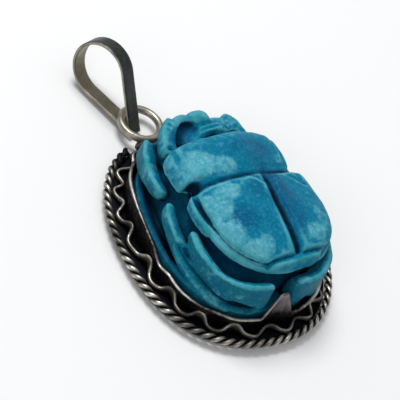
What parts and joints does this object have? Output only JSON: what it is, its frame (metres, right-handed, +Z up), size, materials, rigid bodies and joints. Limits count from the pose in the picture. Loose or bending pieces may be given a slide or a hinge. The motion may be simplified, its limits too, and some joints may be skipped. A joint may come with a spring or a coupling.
{
  "type": "scarab pendant",
  "caption": "Carved turquoise scarab amulet set in an oval oxidised silver mount with a twisted rope border, a wavy wire, a jump ring and a strip bail.",
  "frame": {"origin": "middle of the mount's oval on the underside of the back plate", "axes": "+Z up from the plate through the scarab's back, +Y from the tail towards the head, the jump ring and the bail, +X to the scarab's right"},
  "size_m": [0.024, 0.0377, 0.0104],
  "materials": {
    "faience": "turquoise glaze, mottled and worn pale on its ridges",
    "dark_silver": "blackened",
    "worn_silver": "oxidised with worn bright ridges",
    "slate_silver": "dulled grey"
  },
  "bodies": {
    "root": {"back_plate": "dark_silver", "rope_border": "worn_silver", "zigzag_wire": "worn_silver", "bezel": "slate_silver", "scarab": "faience", "jump_ring": "worn_silver", "bail": "slate_silver"}
  },
  "joints": []
}
